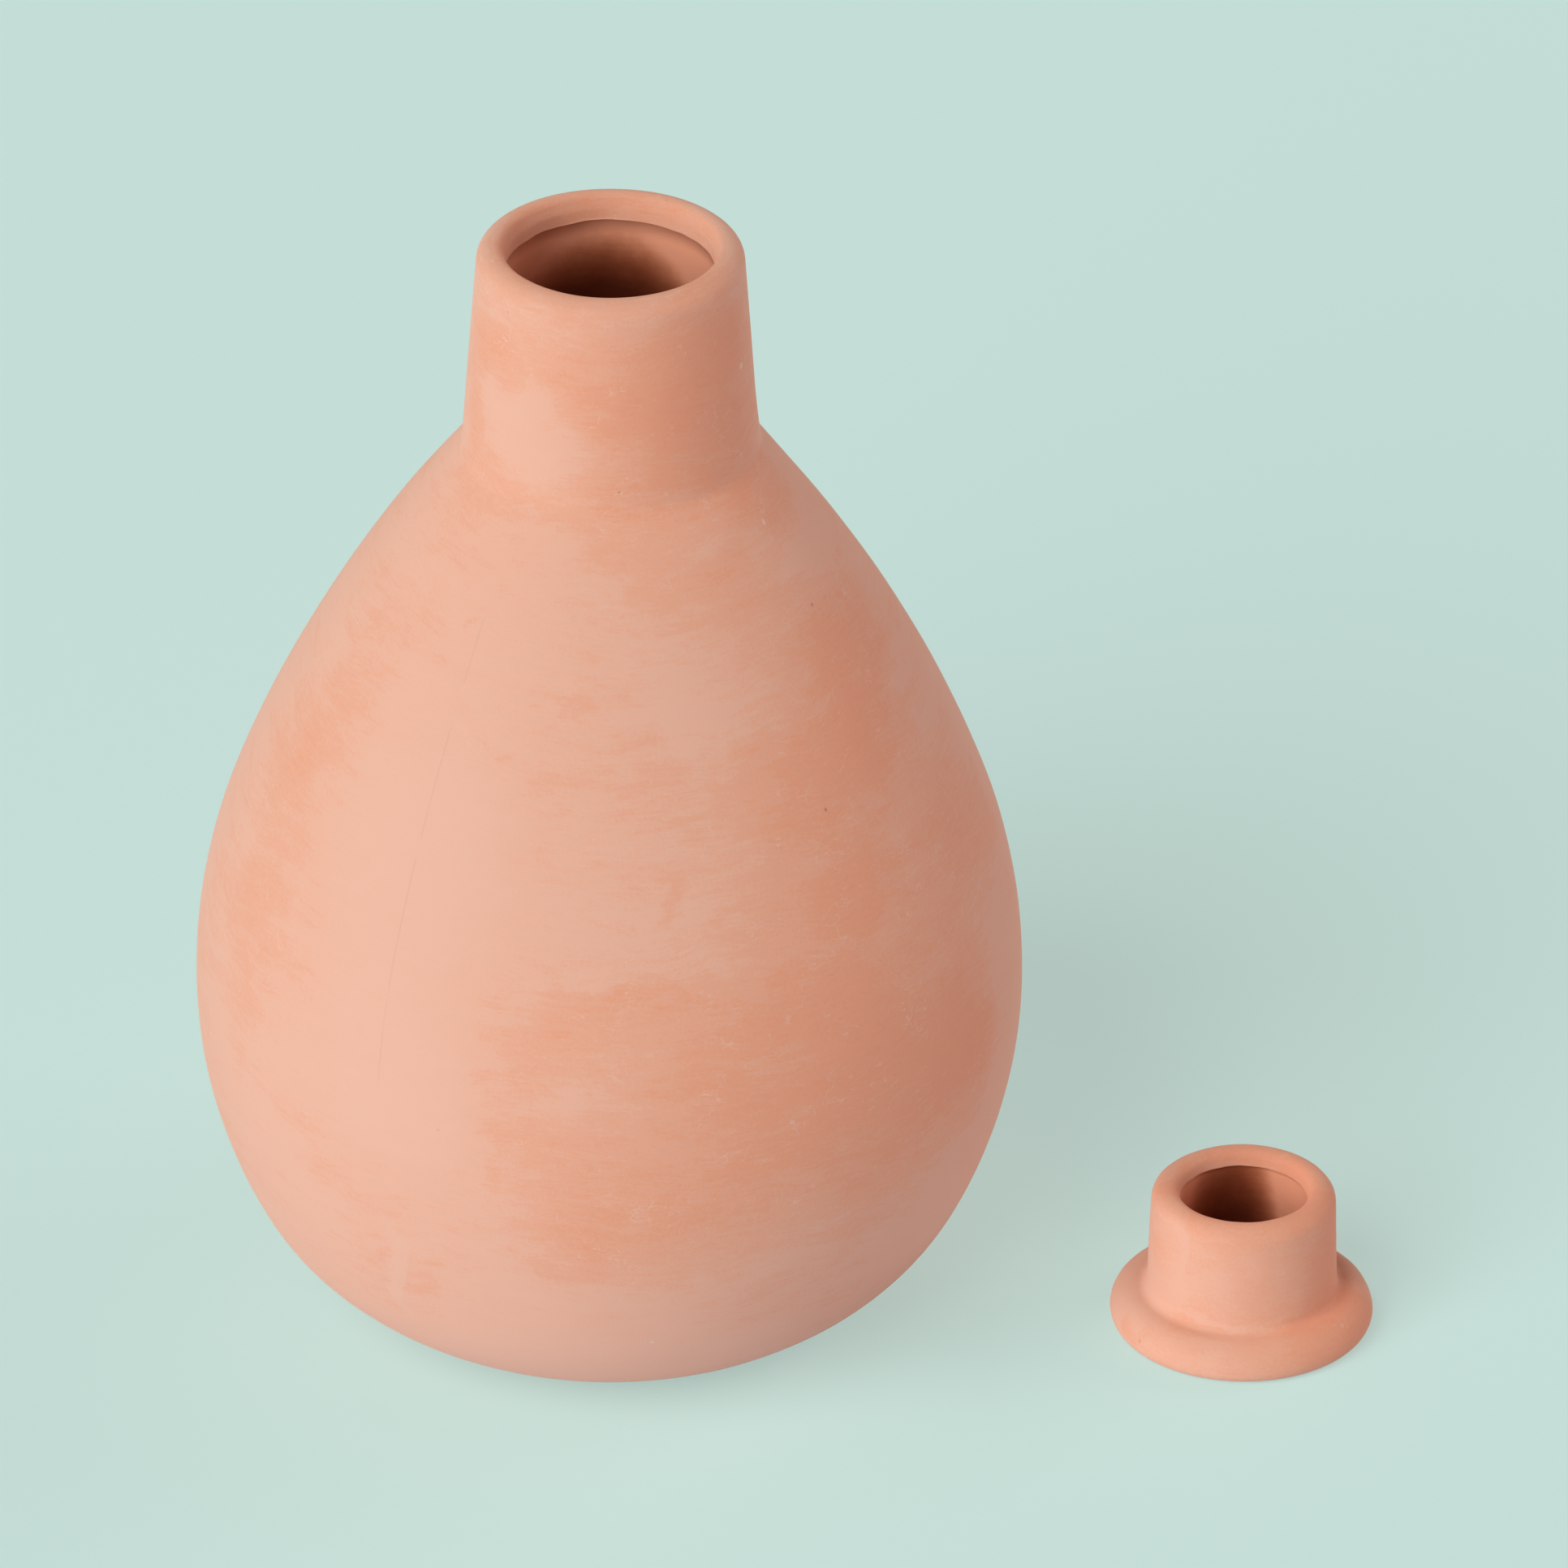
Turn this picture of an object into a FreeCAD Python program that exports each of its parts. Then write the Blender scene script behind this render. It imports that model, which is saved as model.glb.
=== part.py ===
import FreeCAD, Part
import math
import os

# Irrigation olla: a bottle-shaped jar of unglazed terracotta that is buried up to its neck
# and seeps water into the soil, and the stopper that closes its mouth.
# Both are hollow clay castings with an even wall, each in one piece.
# The jar stands on its foot. Its stopper has been taken off and stands beside it, upside
# down, on the broad face that is its top when the jar is closed.
# Millimetres, +Z up, the origin at the centre of the foot, +X towards the stopper.

# Jar, outside
pot_height = 300.0
belly_radius = 106.0
belly_height = 89.8
foot_radius = 52.5
foot_edge_round = 2.0
hull_lift = 18.0
hull_leg_ratio = 1.1
shoulder_lean = 39.6
shoulder_leg_ratio = 2.0
neck_base_radius = 37.7
neck_base_height = 243.6
neck_base_round = 1.8
rim_radius = 33.7

# Jar, wall and mouth
wall = 7.5
rim_crest_radius = 29.0
mouth_radius = 27.3
throat_radius = 26.1
throat_land = 3.5
throat_round = 0.5
lip_depth = 7.8
lip_edge_round = 0.3

# Stopper: a hollow plug that drops into the throat, and a flange that covers the rim
flange_overhang = 0.3
flange_thickness = 10.4
flange_widest_height = 3.8
flange_corner_round = 1.6
plug_clearance = 1.4
plug_length = 29.7
plug_taper = 1.0
plug_wall = 7.1
plug_crest_width = 4.5
plug_mouth_round = 2.3
plug_lip_depth = 4.2
plug_lip_overhang = 0.5
plug_lip_edge_round = 0.2
plug_floor = 8.0
plug_floor_round = 6.0

# Where the stopper stands
stopper_gap = 24.6
stopper_bearing = -8.0

# Sizes that follow from these
lip_height = pot_height - lip_depth
flange_radius = rim_radius + flange_overhang
plug_base_radius = throat_radius - plug_clearance
plug_tip_radius = plug_base_radius - plug_taper
plug_top = flange_thickness + plug_length
plug_lip_height = plug_top - plug_lip_depth
stopper_distance = belly_radius + stopper_gap + flange_radius

ORIGIN = FreeCAD.Vector(0, 0, 0)
AXIS = FreeCAD.Vector(0, 0, 1)
SHORTEST_RUN = 0.001


def point(radius, height):
    """A point of a half section, which lies in the XZ plane."""
    return FreeCAD.Vector(radius, 0, height)


def unit(vector):
    """The same direction with a length of one."""
    return vector * (1 / vector.Length)


# The neck's straight outer wall, and the way from it into the clay
NECK_BASE = point(neck_base_radius, neck_base_height)
RIM = point(rim_radius, pot_height)
NECK_WAY = unit(RIM - NECK_BASE)
INTO_CLAY = point(-NECK_WAY.z, NECK_WAY.x)


def tangent_arc(start, way, end):
    """The arc that leaves the start along way and ends at the end."""
    chord = end - start
    bisector = unit(way) + unit(chord)
    middle = start + bisector * (chord.Length / bisector.dot(bisector))
    return Part.Arc(start, middle, end).toShape()


def arc_pair(start, start_way, end, end_way, leg_ratio):
    """Two arcs that meet smoothly and are tangent to a given way at each end.

    Each arc has two equal tangent legs; leg_ratio is the second arc's leg over the first's.
    """
    span = end - start
    a = 2 * leg_ratio * (start_way.dot(end_way) - 1)
    b = -2 * (span.dot(start_way) + leg_ratio * span.dot(end_way))
    c = span.dot(span)
    first_leg = (-b - math.sqrt(b * b - 4 * a * c)) / (2 * a)
    second_leg = leg_ratio * first_leg
    first_corner = start + start_way * first_leg
    second_corner = end - end_way * second_leg
    joint_way = unit(second_corner - first_corner)
    joint = first_corner + joint_way * first_leg
    return [tangent_arc(start, start_way, joint), tangent_arc(joint, joint_way, end)]


def rounded_path(corners):
    """Straight runs through the corners, each given as a point and the reach of its round."""
    edges = []
    here = corners[0][0]
    for index in range(1, len(corners) - 1):
        corner, reach = corners[index]
        before = corner - unit(corner - corners[index - 1][0]) * reach
        after = corner + unit(corners[index + 1][0] - corner) * reach
        if (before - here).Length > SHORTEST_RUN:
            edges.append(Part.makeLine(here, before))
        if reach > 0:
            edges.append(tangent_arc(before, corner - before, after))
        here = after
    edges.append(Part.makeLine(here, corners[-1][0]))
    return edges


def turned(edges):
    """The solid that a closed half section sweeps around the axis."""
    section = Part.Face(Part.Wire(Part.sortEdges(edges)[0]))
    return section.revolve(ORIGIN, AXIS, 360)


def body_outline():
    """The jar's outside below the neck, from the centre of the foot to the neck's start."""
    lift = math.radians(hull_lift)
    lean = math.radians(shoulder_lean)
    up = point(0, 1)
    hull_way = point(math.cos(lift), math.sin(lift))
    shoulder_way = point(-math.sin(lean), math.cos(lean))
    foot_corner = point(foot_radius, 0)
    foot_end = foot_corner - point(foot_edge_round, 0)
    hull_start = foot_corner + hull_way * foot_edge_round
    belly = point(belly_radius, belly_height)
    shoulder_end = NECK_BASE - shoulder_way * neck_base_round
    neck_start = NECK_BASE + NECK_WAY * neck_base_round

    edges = [Part.makeLine(point(0, 0), foot_end)]
    edges.append(tangent_arc(foot_end, point(1, 0), hull_start))
    edges += arc_pair(hull_start, hull_way, belly, up, hull_leg_ratio)
    edges += arc_pair(belly, up, shoulder_end, shoulder_way, shoulder_leg_ratio)
    edges.append(tangent_arc(shoulder_end, shoulder_way, neck_start))
    return edges, neck_start


def pot():
    """The jar: an even clay wall, a rounded rim and the lip that trimming left in the throat."""
    outside, neck_start = body_outline()

    lip_line_height = lip_height - wall * INTO_CLAY.z
    lip_line = RIM - NECK_WAY * ((pot_height - lip_line_height) / NECK_WAY.z)
    guide = Part.Wire(outside + [Part.makeLine(neck_start, lip_line)])
    inside = guide.makeOffset2D(wall, 0, False, True)
    wall_top = lip_line + INTO_CLAY * wall

    mouth = rounded_path([
        (neck_start, 0),
        (RIM, rim_radius - rim_crest_radius),
        (point(mouth_radius, pot_height), rim_crest_radius - mouth_radius),
        (point(throat_radius, lip_height + throat_land), throat_round),
        (point(throat_radius, lip_height), lip_edge_round),
        (wall_top, 0),
    ])
    axis = Part.makeLine(point(0, 0), point(0, wall))
    return turned(outside + mouth + inside.Edges + [axis])


def stopper():
    """The stopper as it stands: the flange below, the open end of the plug above."""
    hollow_tip_radius = plug_tip_radius - plug_wall
    hollow_base_radius = plug_base_radius - plug_wall
    hollow_lip_radius = hollow_tip_radius - plug_lip_overhang
    crest_radius = plug_tip_radius - plug_crest_width
    flange_upper_round = flange_thickness - flange_widest_height
    section = rounded_path([
        (point(0, 0), 0),
        (point(flange_radius, 0), flange_widest_height),
        (point(flange_radius, flange_thickness), flange_upper_round),
        (point(plug_base_radius, flange_thickness), flange_corner_round),
        (point(plug_tip_radius, plug_top), plug_crest_width),
        (point(crest_radius - plug_mouth_round, plug_top), plug_mouth_round),
        (point(hollow_lip_radius, plug_lip_height), plug_lip_edge_round),
        (point(hollow_tip_radius, plug_lip_height - plug_lip_overhang), 0),
        (point(hollow_base_radius, plug_floor), plug_floor_round),
        (point(0, plug_floor), 0),
    ])
    axis = Part.makeLine(point(0, plug_floor), point(0, 0))
    solid = turned(section + [axis])
    bearing = math.radians(stopper_bearing)
    place = FreeCAD.Vector(math.cos(bearing), math.sin(bearing), 0) * stopper_distance
    solid.translate(place)
    return solid


def main():
    os.makedirs("parts", exist_ok=True)
    pieces = {"olla_pot": pot(), "stopper": stopper()}
    for name, shape in pieces.items():
        shape.exportStep("parts/" + name + ".step")


main()
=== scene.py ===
import math

import bmesh
import bpy
from bpy.props import FloatProperty, FloatVectorProperty, IntProperty, PointerProperty
from bpy.types import Operator, Panel, PropertyGroup
from mathutils import Matrix, Vector, noise


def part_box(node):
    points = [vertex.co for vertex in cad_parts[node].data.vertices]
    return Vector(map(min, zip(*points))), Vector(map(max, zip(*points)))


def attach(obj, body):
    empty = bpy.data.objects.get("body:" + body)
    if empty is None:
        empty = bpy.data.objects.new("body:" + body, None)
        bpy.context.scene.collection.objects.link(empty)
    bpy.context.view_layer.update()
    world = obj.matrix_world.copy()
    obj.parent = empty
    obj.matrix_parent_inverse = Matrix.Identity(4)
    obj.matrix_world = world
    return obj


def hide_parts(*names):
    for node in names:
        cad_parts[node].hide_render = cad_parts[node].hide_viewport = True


bl_info = {
    "name": "Irrigation Olla",
    "version": (1, 0, 0),
    "blender": (4, 5, 0),
    "location": "View3D > Sidebar > Olla",
    "description": "Builds an unglazed terracotta olla and its stopper around the packed model",
    "category": "Object",
}

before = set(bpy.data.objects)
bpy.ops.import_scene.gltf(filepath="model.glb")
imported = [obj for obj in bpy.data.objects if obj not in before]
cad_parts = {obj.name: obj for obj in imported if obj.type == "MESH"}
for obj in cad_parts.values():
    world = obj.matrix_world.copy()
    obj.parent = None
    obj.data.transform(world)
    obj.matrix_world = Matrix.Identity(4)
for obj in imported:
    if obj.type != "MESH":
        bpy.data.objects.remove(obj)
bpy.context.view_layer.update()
JAR_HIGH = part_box("olla_pot")[1]
STOPPER_LOW, STOPPER_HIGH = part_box("stopper")
STOPPER_CENTRE = (STOPPER_LOW + STOPPER_HIGH) / 2

MM = 0.001
FULL_TURN = 2 * math.pi
SHORTEST_RUN = 0.01 * MM
MERGE_REACH = 0.002 * MM
FEWEST_ARC_STEPS = 3
WHITE = (1.0, 1.0, 1.0)


def length(name, description, default):
    """A length in metres that the user can change."""
    return FloatProperty(
        name=name, description=description, default=default, min=0.0, unit="LENGTH", precision=4)


def angle(name, description, degrees):
    """An angle that the user can change."""
    return FloatProperty(
        name=name, description=description, default=math.radians(degrees), subtype="ANGLE")


def ratio(name, description, default):
    """A plain number that the user can change."""
    return FloatProperty(name=name, description=description, default=default)


def colour(name, description, default):
    """A linear colour that the user can change."""
    return FloatVectorProperty(
        name=name, description=description, default=default, size=3, subtype="COLOR", min=0.0, max=1.0)


def steps_around(default):
    """How finely a turned form is divided."""
    return IntProperty(
        name="Segments", description="Steps around the axis", default=default, min=48, max=400)


class OllaJarSizes(PropertyGroup):
    """Sizes of the jar, which are those of its solid."""

    height: length("Height", "From the foot to the crest of the rim", JAR_HIGH.z)
    belly_radius: length("Belly radius", "Radius where the jar is widest", JAR_HIGH.x)
    belly_height: length("Belly height", "Height of the widest place", 0.0898)
    foot_radius: length("Foot radius", "Radius of the flat foot", 0.0525)
    foot_edge_round: length("Foot edge round", "Reach of the round at the edge of the foot", 0.002)
    hull_lift: angle("Hull lift", "Slope of the hull where it leaves the foot", 18.0)
    hull_leg_ratio: ratio("Hull leg ratio", "Upper over lower tangent leg of the hull", 1.1)
    shoulder_lean: angle("Shoulder lean", "Lean of the shoulder at the foot of the neck", 39.6)
    shoulder_leg_ratio: ratio("Shoulder leg ratio", "Upper over lower tangent leg of the shoulder", 2.0)
    neck_base_radius: length("Neck base radius", "Radius at the foot of the neck", 0.0377)
    neck_base_height: length("Neck base height", "Height of the foot of the neck", 0.2436)
    neck_base_round: length("Neck base round", "Reach of the round at the foot of the neck", 0.0018)
    rim_radius: length("Rim radius", "Radius of the neck's line at the top", 0.0337)
    wall: length("Wall", "Thickness of the clay wall", 0.0075)
    rim_crest_radius: length("Rim crest radius", "Radius of the highest ring of the rim", 0.029)
    mouth_radius: length("Mouth radius", "Radius of the mouth at the top", 0.0273)
    throat_radius: length("Throat radius", "Radius of the short throat inside the mouth", 0.0261)
    throat_land: length("Throat land", "Height of the throat over the lip", 0.0035)
    throat_round: length("Throat round", "Reach of the round over the throat", 0.0005)
    lip_depth: length("Lip depth", "Depth of the trimmed lip under the rim", 0.0078)
    lip_edge_round: length("Lip edge round", "Reach of the round on the lip", 0.0003)
    hand_depth: length("Hand unevenness", "How far the wall wavers from a true turned form", 0.0005)
    segments: steps_around(288)


class OllaStopperSizes(PropertyGroup):
    """Sizes of the stopper, which stands upside down on its broad face."""

    flange_radius: length("Flange radius", "Radius of the flange", 0.034)
    flange_thickness: length("Flange thickness", "Height of the flange", 0.0104)
    flange_widest_height: length("Flange widest height", "Height where the flange is widest", 0.0038)
    flange_corner_round: length("Flange corner round", "Reach of the round under the plug", 0.0016)
    plug_base_radius: length("Plug base radius", "Radius of the plug at the flange", 0.0247)
    plug_tip_radius: length("Plug tip radius", "Radius of the plug at its open end", 0.0237)
    plug_wall: length("Plug wall", "Thickness of the plug's wall", 0.0071)
    plug_crest_width: length("Plug crest width", "Reach of the outer round of the open end", 0.0045)
    plug_mouth_round: length("Plug mouth round", "Reach of the inner round of the open end", 0.0023)
    plug_lip_depth: length("Plug lip depth", "Depth of the trimmed lip in the plug", 0.0042)
    plug_lip_overhang: length("Plug lip overhang", "How far that lip stands in", 0.0005)
    plug_lip_edge_round: length("Plug lip edge round", "Reach of the round on that lip", 0.0002)
    plug_floor: length("Plug floor", "Thickness of the closed end", 0.008)
    plug_floor_round: length("Plug floor round", "Reach of the round at the floor", 0.006)
    hand_depth: length("Hand unevenness", "How far the surface wavers from a true turned form", 0.0004)
    slip_bead: length("Slip bead", "Height of the smeared slip where the plug meets the flange", 0.0004)
    segments: steps_around(224)


class OllaClayFinish(PropertyGroup):
    """Colours of the fired clay, as linear values."""

    pale_bloom: colour("Pale bloom", "Dry lime bloom on the clay", (0.835, 0.512, 0.378))
    mid_clay: colour("Clay", "Clay under a thin bloom", (0.83, 0.465, 0.322))
    bare_clay: colour("Bare clay", "Clay where the bloom is rubbed off", (0.825, 0.405, 0.254))
    warm_clay: colour("Warm clay", "Clay where it is rubbed hardest", (0.83, 0.345, 0.205))
    raw_clay: colour("Raw clay", "Clay inside the hollows, where no bloom forms", (0.88, 0.40, 0.245))
    # Painted shade: the share of each colour that is left where the hollows are shaded darkest
    hollow_shade_share: colour("Painted hollow shade", "Share of each colour left where it is damp", (0.37, 0.235, 0.165))
    scratch: colour("Scratch", "Fine scratches and specks of lime", (0.86, 0.61, 0.48))
    # Also the colour of the painted shadow of the plug on the stopper's flange
    pit_and_shadow: colour("Pit", "Pits and the mould seam", (0.36, 0.14, 0.09))


class OllaStudio(PropertyGroup):
    """The camera, the floor and the light."""

    camera_distance: length("Camera distance", "From the camera to its target", 4.8156)
    camera_elevation: angle("Camera elevation", "Height of the camera over the horizon", 29.665)
    camera_roll: angle("Camera roll", "Turn of the camera around its own line of sight", 0.392)
    target_x: length("Target across", "Where the camera looks, across", 0.044372)
    target_z: length("Target height", "Where the camera looks, height", 0.144325)
    lens: ratio("Lens", "Focal length in millimetres on a 36 mm frame", 433.9)
    sky: ratio("Sky light", "Strength of the even light from all around", 0.15)
    high_key: ratio("High key light", "Strength of the upper light at the front left", 1.80)
    low_key: ratio("Low key light", "Strength of the lower light at the front left", 1.06)
    side: ratio("Side light", "Strength of the low soft light at the right", 1.55)
    back: ratio("Back light", "Strength of the low soft light behind the left", 0.38)
    fill_colour: colour("Fill colour", "Colour of the sky light and of the low lights", (1.0, 0.79, 0.76))
    light_spread: angle("Light spread", "Apparent size of each soft light", 48.0)
    backdrop: colour("Backdrop", "Colour behind the olla", (0.546, 0.730, 0.680))
    floor_seen: colour("Floor", "Colour of the floor as the camera sees it", (0.315, 0.450, 0.427))
    floor_glow: ratio("Floor glow", "Share of the backdrop's colour that the floor adds", 0.62)
    floor_bounce: colour("Floor bounce", "Colour of the light off the floor", (0.74, 0.77, 0.86))


def point(radius, height):
    """A point of a half section, which lies in the XZ plane."""
    return Vector((radius, 0.0, height))


class HalfSection:
    """A half section drawn by one vertex that leaves a line behind it."""

    def __init__(self, start):
        self.mesh = bmesh.new()
        self.tip = self.mesh.verts.new(start)
        self.arcs = []

    def run_to(self, end, spacing):
        """A straight run, with a ring at every spacing."""
        start = self.tip.co.copy()
        steps = max(1, math.ceil((end - start).length / spacing))
        for step in range(1, steps + 1):
            made = bmesh.ops.extrude_vert_indiv(self.mesh, verts=[self.tip])
            self.tip = made["verts"][0]
            self.tip.co = start.lerp(end, step / steps)

    def arc_around(self, centre, turn, spacing):
        """An arc around a centre. A positive turn goes from +X towards +Z."""
        radius = (self.tip.co - centre).length
        steps = max(FEWEST_ARC_STEPS, math.ceil(abs(turn) * radius / spacing))
        made = bmesh.ops.spin(
            self.mesh, geom=[self.tip], cent=centre, axis=(0, -1, 0), angle=turn, steps=steps,
            use_duplicate=False)
        self.tip = made["geom_last"][0]

    def arc_to(self, end, way, spacing):
        """The arc that leaves the tip along way and ends at the end."""
        start = self.tip.co.copy()
        chord = end - start
        left = Vector((-way.z, 0.0, way.x))
        centre = start + left * (chord.dot(chord) / (2 * chord.dot(left)))
        turn = 2 * math.atan2(chord.dot(left), chord.dot(way))
        self.arc_around(centre, turn, spacing)
        self.arcs.append((centre, turn))

    def arc_pair_to(self, end, start_way, end_way, leg_ratio, spacing):
        """Two arcs that meet smoothly and are tangent to a given way at each end."""
        start = self.tip.co.copy()
        span = end - start
        a = 2 * leg_ratio * (start_way.dot(end_way) - 1)
        b = -2 * (span.dot(start_way) + leg_ratio * span.dot(end_way))
        c = span.dot(span)
        first_leg = (-b - math.sqrt(b * b - 4 * a * c)) / (2 * a)
        first_corner = start + start_way * first_leg
        second_corner = end - end_way * (leg_ratio * first_leg)
        joint_way = (second_corner - first_corner).normalized()
        joint = first_corner + joint_way * first_leg
        self.arc_to(joint, start_way, spacing)
        self.arc_to(end, joint_way, spacing)

    def rounded_to(self, corners, spacing):
        """Straight runs through the corners, each given as a point and the reach of its round."""
        before_corner = self.tip.co.copy()
        for index, (corner, reach) in enumerate(corners):
            way_in = (corner - before_corner).normalized()
            before = corner - way_in * reach
            if (before - self.tip.co).length > SHORTEST_RUN:
                self.run_to(before, spacing)
            if reach > 0:
                way_out = (corners[index + 1][0] - corner).normalized()
                self.arc_to(corner + way_out * reach, way_in, spacing)
            before_corner = corner

    def turned(self, segments):
        """The closed shell that the section sweeps around the axis."""
        shell = self.mesh
        bmesh.ops.spin(
            shell, geom=shell.verts[:] + shell.edges[:], cent=(0, 0, 0), axis=(0, 0, 1),
            angle=FULL_TURN, steps=segments, use_merge=True, use_duplicate=False)
        bmesh.ops.remove_doubles(shell, verts=shell.verts[:], dist=MERGE_REACH)
        bmesh.ops.recalc_face_normals(shell, faces=shell.faces[:])
        shell.normal_update()
        return shell


def smooth_step(low, high, value):
    """Zero below low, one above high and a smooth rise between them."""
    share = min(1.0, max(0.0, (value - low) / (high - low)))
    return share * share * (3 - 2 * share)


def waver(place, reach, seed):
    """A slow and a quicker unevenness together, between 0 and 1."""
    middle, slow_share, quick_share, quick_reach = 0.5, 0.55, 0.2, 0.28 * reach
    slow = noise.noise(place / reach + Vector((seed, 0, 0)))
    quick = noise.noise(place / quick_reach + Vector((0, seed, 0)))
    return min(1.0, max(0.0, middle + slow_share * slow + quick_share * quick))


def outward(place):
    """The level way from the axis to a place."""
    across = place.xy.length
    return Vector((place.x / across, place.y / across, 0.0))


def press_by_hand(shell, depth, reach, seed, flat_height):
    """Presses the turned wall in by up to depth, and leaves the face that it stands on flat."""
    moves = []
    for vertex in shell.verts:
        held = smooth_step(0.0, flat_height, vertex.co.z)
        moves.append(-vertex.normal * (depth * held * waver(vertex.co, reach, seed)))
    for vertex, move in zip(shell.verts, moves):
        vertex.co += move
    shell.normal_update()


def mark_inside(shell, below, reach, floor_height):
    """Gives the faces of the hollow, which is no wider than reach, the second material."""
    least_lean = 0.02
    for face in shell.faces:
        middle = face.calc_center_median()
        across = middle.xy.length
        inwards = face.normal.xy.dot(middle.xy) < -least_lean * across
        floor = face.normal.z > 0 and middle.z < floor_height
        if middle.z < below and across < reach and (inwards or floor):
            face.material_index = 1


def trim_by_hand(shell, lip_height, lip_radius, depth):
    """The trimmed lip wavers a little, as a knife held in the hand leaves it."""
    knife_reach, past_lip, height_share = 5 * MM, 2 * MM, 1.2
    slow_waves, quick_waves, side_waves = 1.7, 6.0, 3.1
    elsewhere = Vector((5, 0, 0))
    for vertex in shell.verts:
        across = vertex.co.xy.length
        from_lip = abs(vertex.co.z - lip_height)
        if across > lip_radius + past_lip or from_lip > knife_reach or across == 0:
            continue
        around = outward(vertex.co)
        near = 1 - from_lip / knife_reach
        slip = noise.noise(around * slow_waves) + 0.5 * noise.noise(around * quick_waves)
        vertex.co.z += height_share * depth * near * slip
        vertex.co += around * (depth * near * noise.noise(around * side_waves + elsewhere))
    shell.normal_update()


def finished_piece(name, shell, place):
    """Turns a shell into a smooth object whose place is in its mesh."""
    bmesh.ops.translate(shell, verts=shell.verts[:], vec=place)
    mesh = bpy.data.meshes.new(name)
    shell.to_mesh(mesh)
    shell.free()
    mesh.polygons.foreach_set("use_smooth", [True] * len(mesh.polygons))
    piece = bpy.data.objects.new(name, mesh)
    bpy.context.scene.collection.objects.link(piece)
    return piece


def jar_shell(sizes):
    """The jar: an even wall, a rounded rim and the lip that trimming left in the throat."""
    outer, inner, fine, flat = 2.6 * MM, 4.6 * MM, 0.9 * MM, 12 * MM
    neck_run = 50 * MM
    up = point(0, 1)
    neck_base = point(sizes.neck_base_radius, sizes.neck_base_height)
    rim = point(sizes.rim_radius, sizes.height)
    neck_way = (rim - neck_base).normalized()
    into_clay = point(-neck_way.z, neck_way.x)
    hull_way = point(math.cos(sizes.hull_lift), math.sin(sizes.hull_lift))
    shoulder_way = point(-math.sin(sizes.shoulder_lean), math.cos(sizes.shoulder_lean))
    foot_corner = point(sizes.foot_radius, 0)
    belly = point(sizes.belly_radius, sizes.belly_height)
    shoulder_end = neck_base - shoulder_way * sizes.neck_base_round
    neck_start = neck_base + neck_way * sizes.neck_base_round

    section = HalfSection(point(0, 0))
    section.run_to(foot_corner - point(sizes.foot_edge_round, 0), flat)
    section.arc_to(foot_corner + hull_way * sizes.foot_edge_round, point(1, 0), fine)
    section.arcs.clear()
    section.arc_pair_to(belly, hull_way, up, sizes.hull_leg_ratio, outer)
    section.arc_pair_to(shoulder_end, up, shoulder_way, sizes.shoulder_leg_ratio, outer)
    section.arc_to(neck_start, shoulder_way, fine)
    body_arcs = list(section.arcs)

    lip_height = sizes.height - sizes.lip_depth
    lip_line_height = lip_height - sizes.wall * into_clay.z
    lip_line = rim - neck_way * ((sizes.height - lip_line_height) / neck_way.z)
    section.run_to(neck_base + neck_way * neck_run, outer)
    section.rounded_to([
        (rim, sizes.rim_radius - sizes.rim_crest_radius),
        (point(sizes.mouth_radius, sizes.height), sizes.rim_crest_radius - sizes.mouth_radius),
        (point(sizes.throat_radius, lip_height + sizes.throat_land), sizes.throat_round),
        (point(sizes.throat_radius, lip_height), sizes.lip_edge_round),
        (lip_line + into_clay * sizes.wall, 0),
    ], fine)

    section.run_to(neck_start + into_clay * sizes.wall, inner)
    for centre, turn in reversed(body_arcs[1:]):
        section.arc_around(centre, -turn, inner)
    centre = body_arcs[0][0]
    arm = section.tip.co - centre
    floor_angle = math.asin((sizes.wall - centre.z) / arm.length)
    section.arc_around(centre, floor_angle - math.atan2(arm.z, arm.x), inner)
    section.run_to(point(0, sizes.wall), flat)
    return section.turned(sizes.segments)


def swell_neck_foot(shell, sizes):
    """The clay is a little fuller on one side of the neck's foot."""
    fullness, spread = 0.5 * MM, 9 * MM
    lowest, innermost, least_rise = 200 * MM, sizes.neck_base_radius - 6 * MM, -0.2
    side_starts, side_is_full = 0.2, 0.95
    for vertex in shell.verts:
        across = vertex.co.xy.length
        outside = vertex.co.z > lowest and across > innermost
        if not outside or vertex.co.x <= 0 or vertex.normal.z < least_rise:
            continue
        sideways = smooth_step(side_starts, side_is_full, vertex.co.x / across)
        near = math.exp(-((vertex.co.z - sizes.neck_base_height) / spread) ** 2)
        vertex.co += vertex.normal * (fullness * sideways * near)
    shell.normal_update()


def stopper_shell(sizes):
    """The stopper as it stands: the flange below, the open end of the plug above."""
    fine = 0.7 * MM
    top = STOPPER_HIGH.z
    lip_height = top - sizes.plug_lip_depth
    hollow_tip_radius = sizes.plug_tip_radius - sizes.plug_wall
    hollow_lip_radius = hollow_tip_radius - sizes.plug_lip_overhang
    crest_radius = sizes.plug_tip_radius - sizes.plug_crest_width
    flange_upper_round = sizes.flange_thickness - sizes.flange_widest_height
    section = HalfSection(point(0, 0))
    section.rounded_to([
        (point(sizes.flange_radius, 0), sizes.flange_widest_height),
        (point(sizes.flange_radius, sizes.flange_thickness), flange_upper_round),
        (point(sizes.plug_base_radius, sizes.flange_thickness), sizes.flange_corner_round),
        (point(sizes.plug_tip_radius, top), sizes.plug_crest_width),
        (point(crest_radius - sizes.plug_mouth_round, top), sizes.plug_mouth_round),
        (point(hollow_lip_radius, lip_height), sizes.plug_lip_edge_round),
        (point(hollow_tip_radius, lip_height - sizes.plug_lip_overhang), 0),
        (point(sizes.plug_base_radius - sizes.plug_wall, sizes.plug_floor), sizes.plug_floor_round),
        (point(0, sizes.plug_floor), 0),
    ], fine)
    return section.turned(sizes.segments)


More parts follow.
